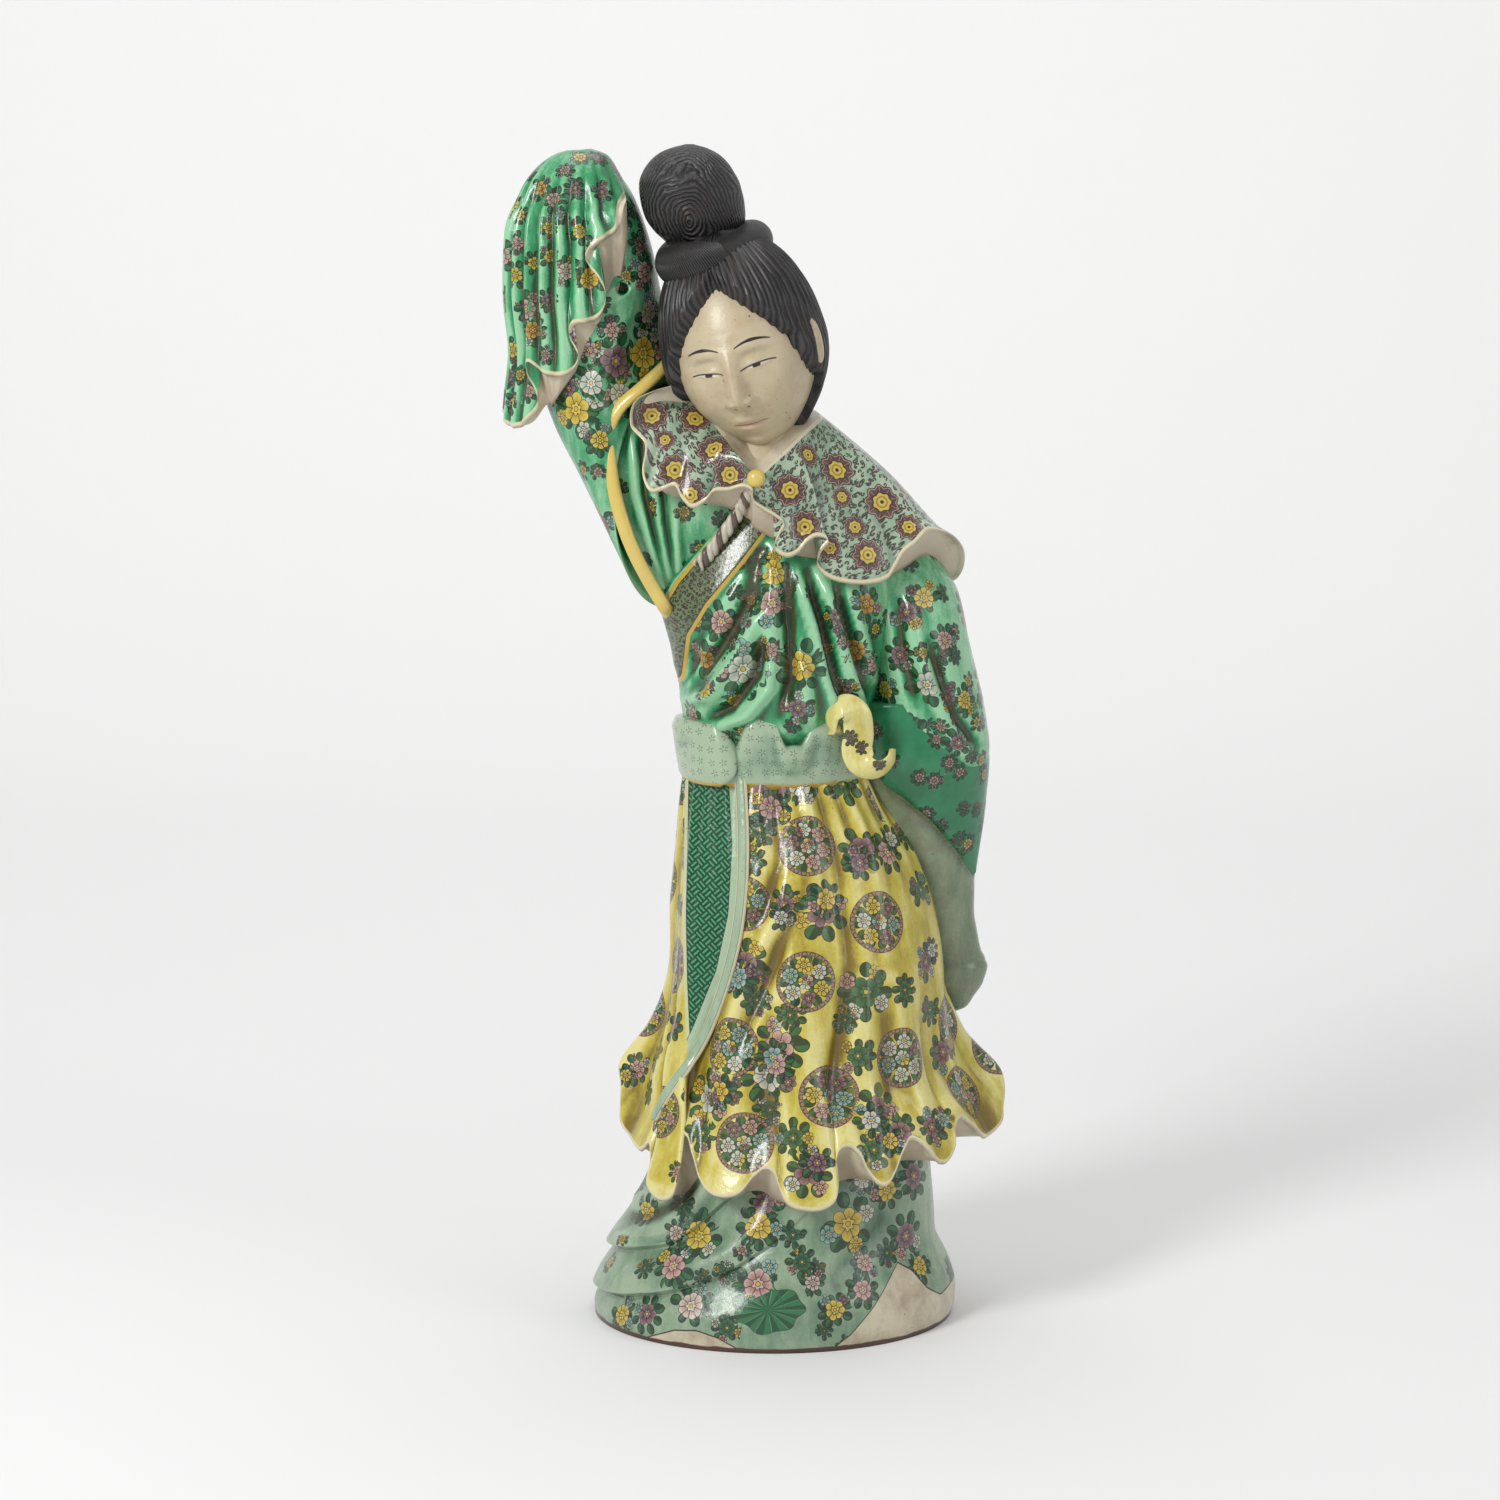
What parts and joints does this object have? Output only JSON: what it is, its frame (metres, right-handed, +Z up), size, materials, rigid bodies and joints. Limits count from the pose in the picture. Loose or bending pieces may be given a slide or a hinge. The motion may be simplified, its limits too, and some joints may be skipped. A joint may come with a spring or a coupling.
{
  "type": "porcelain beauty figure",
  "caption": "Standing porcelain lady in flowing enamelled robes, one long-sleeved arm raised, hair in a high knot, on a flat foot.",
  "frame": {"origin": "on the flat underside, near the middle of the foot", "axes": "+Z up, -Y towards the front of the figure, +X towards the viewer's right, on the lowered arm's side"},
  "size_m": [0.3853, 0.2702, 0.9005],
  "materials": {
    "glazed_porcelain": null
  },
  "bodies": {
    "root": {"figure": "glazed_porcelain"}
  },
  "joints": []
}
